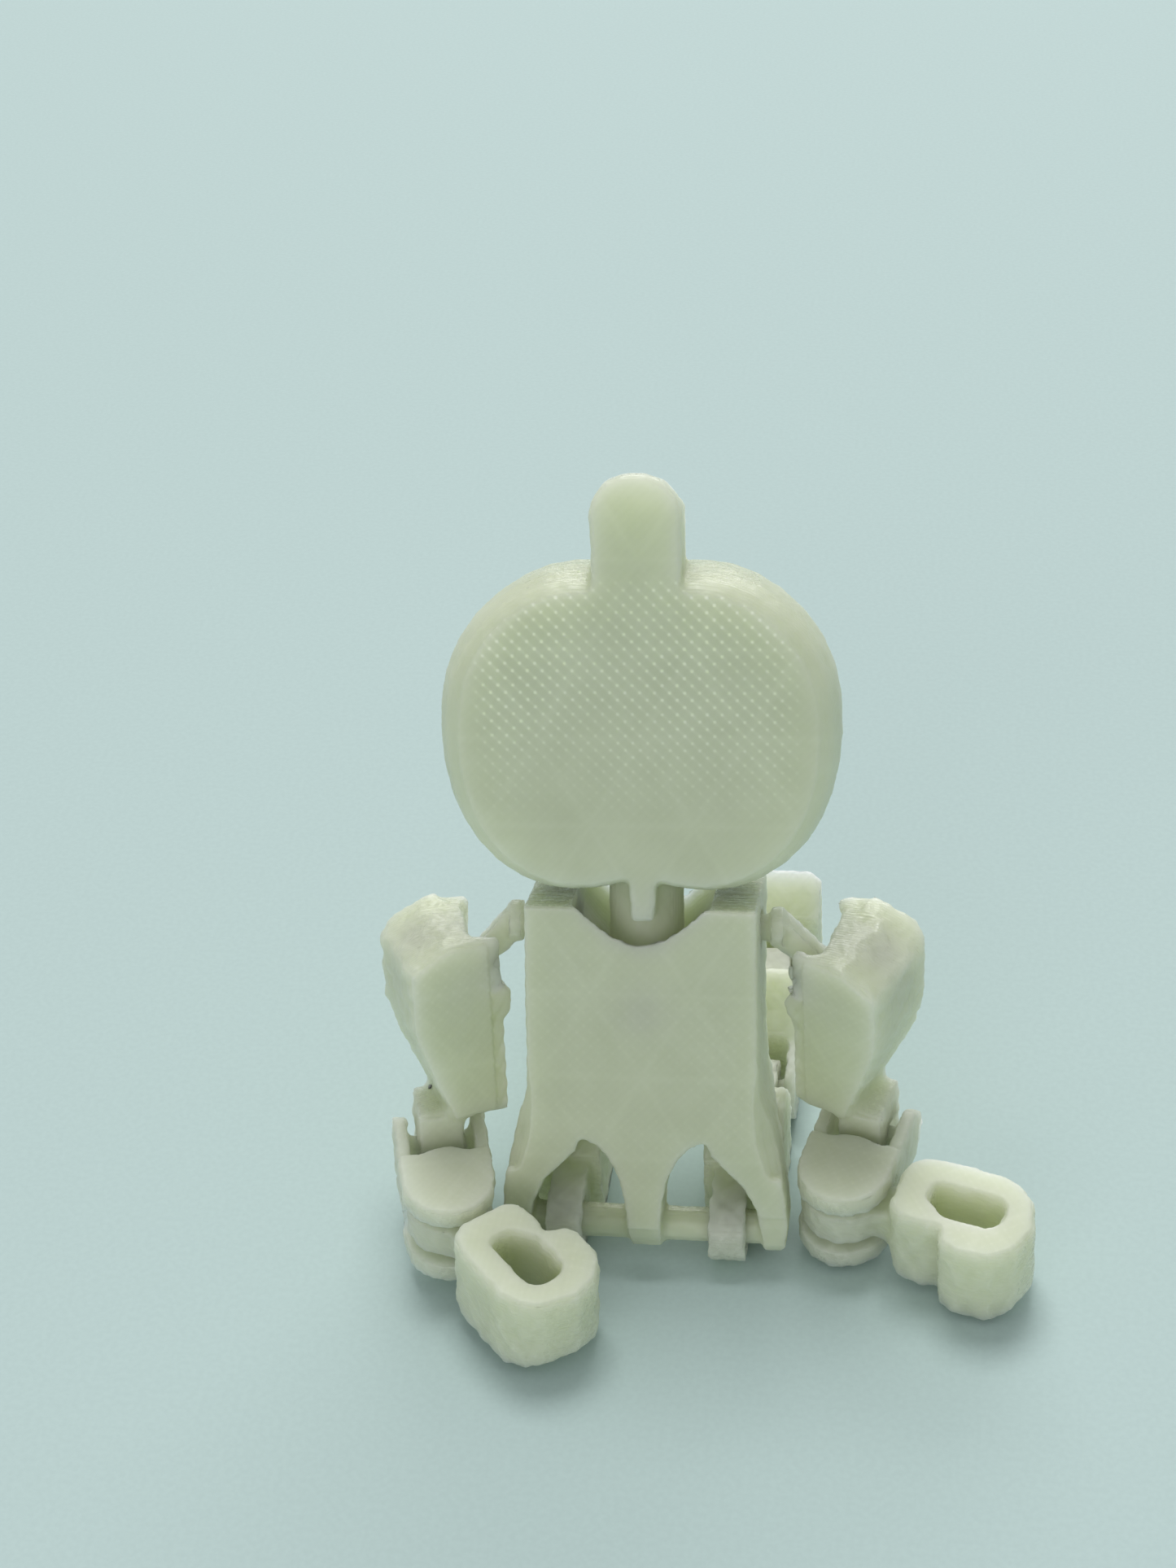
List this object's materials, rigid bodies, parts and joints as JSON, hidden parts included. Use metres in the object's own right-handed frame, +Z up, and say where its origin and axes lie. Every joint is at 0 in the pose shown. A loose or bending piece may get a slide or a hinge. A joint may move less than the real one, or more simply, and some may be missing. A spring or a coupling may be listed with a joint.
{
  "type": "articulated toy figure",
  "caption": "Small articulated figure with a pumpkin head and jointed arms and legs, printed in one milky plastic, seated with legs forward.",
  "frame": {"origin": "centre of the bounding box in plan, on the surface the figure rests on", "axes": "+Z up, -Y towards the figure's front and feet, +X to the figure's left"},
  "size_m": [0.04, 0.0422, 0.0475],
  "materials": {
    "plastic": "satin"
  },
  "bodies": {
    "torso": {"torso": "plastic"},
    "head": {"head": "plastic"},
    "left_shoulder": {"left_shoulder": "plastic"},
    "left_upper_arm": {"left_upper_arm": "plastic"},
    "left_forearm": {"left_forearm": "plastic"},
    "left_hand": {"left_hand": "plastic"},
    "left_thigh": {"left_thigh": "plastic"},
    "left_shin": {"left_shin": "plastic"},
    "left_foot": {"left_foot": "plastic"},
    "right_shoulder": {"right_shoulder": "plastic"},
    "right_upper_arm": {"right_upper_arm": "plastic"},
    "right_forearm": {"right_forearm": "plastic"},
    "right_hand": {"right_hand": "plastic"},
    "right_thigh": {"right_thigh": "plastic"},
    "right_shin": {"right_shin": "plastic"},
    "right_foot": {"right_foot": "plastic"}
  },
  "joints": [
    {"name": "neck", "type": "hinge", "parent": "torso", "child": "head", "pos_m": [0.00335, 0.00201, 0.02202], "axis": [0, -0.284, 0.9588], "range_deg": [-120, 120]},
    {"name": "left_shoulder", "type": "hinge", "parent": "torso", "child": "left_shoulder", "pos_m": [0.01085, 0.00264, 0.01987], "axis": [1, 0, 0], "range_deg": [-3, 100]},
    {"name": "left_arm_turn", "type": "hinge", "parent": "left_shoulder", "child": "left_upper_arm", "pos_m": [0.01575, 0.00305, 0.01715], "axis": [0, -0.1478, 0.989], "range_deg": [-41, 0]},
    {"name": "left_elbow", "type": "hinge", "parent": "left_upper_arm", "child": "left_forearm", "pos_m": [0.01646, 0.00654, 0.00538], "axis": [0.9613, 0.2726, 0.0407], "range_deg": [-100, 16]},
    {"name": "left_wrist", "type": "hinge", "parent": "left_forearm", "child": "left_hand", "pos_m": [0.01508, 0.01158, 0.00424], "axis": [-0.062, 0.0698, 0.9956], "range_deg": [-90, 11]},
    {"name": "left_hip", "type": "hinge", "parent": "torso", "child": "left_thigh", "pos_m": [0.00845, 0.00936, 0.0023], "axis": [1, 0, 0], "range_deg": [-3, 110]},
    {"name": "left_knee", "type": "hinge", "parent": "left_thigh", "child": "left_shin", "pos_m": [0.00895, -0.00364, 0.0023], "axis": [1, 0, 0], "range_deg": [-75, 90]},
    {"name": "left_ankle", "type": "hinge", "parent": "left_shin", "child": "left_foot", "pos_m": [0.00895, -0.01564, 0.0023], "axis": [1, 0, 0], "range_deg": [-80, 90]},
    {"name": "right_shoulder", "type": "hinge", "parent": "torso", "child": "right_shoulder", "pos_m": [-0.00415, 0.00264, 0.01987], "axis": [1, 0, 0], "range_deg": [-105, 100]},
    {"name": "right_arm_turn", "type": "hinge", "parent": "right_shoulder", "child": "right_upper_arm", "pos_m": [-0.00905, 0.00243, 0.01712], "axis": [0, 0.0785, 0.9969], "range_deg": [0, 41]},
    {"name": "right_elbow", "type": "hinge", "parent": "right_upper_arm", "child": "right_forearm", "pos_m": [-0.00981, 0.00316, 0.00488], "axis": [0.9703, -0.2412, 0.019], "range_deg": [-100, 6]},
    {"name": "right_wrist", "type": "hinge", "parent": "right_forearm", "child": "right_hand", "pos_m": [-0.00854, 0.0082, 0.00364], "axis": [0.0063, 0.1038, 0.9946], "range_deg": [-86, 3]},
    {"name": "right_hip", "type": "hinge", "parent": "torso", "child": "right_thigh", "pos_m": [-0.00175, 0.00936, 0.0023], "axis": [1, 0, 0], "range_deg": [-3, 110]},
    {"name": "right_knee", "type": "hinge", "parent": "right_thigh", "child": "right_shin", "pos_m": [-0.00225, -0.00364, 0.0023], "axis": [1, 0, 0], "range_deg": [-75, 90]},
    {"name": "right_ankle", "type": "hinge", "parent": "right_shin", "child": "right_foot", "pos_m": [-0.00225, -0.01564, 0.0023], "axis": [1, 0, 0], "range_deg": [-80, 90]}
  ]
}
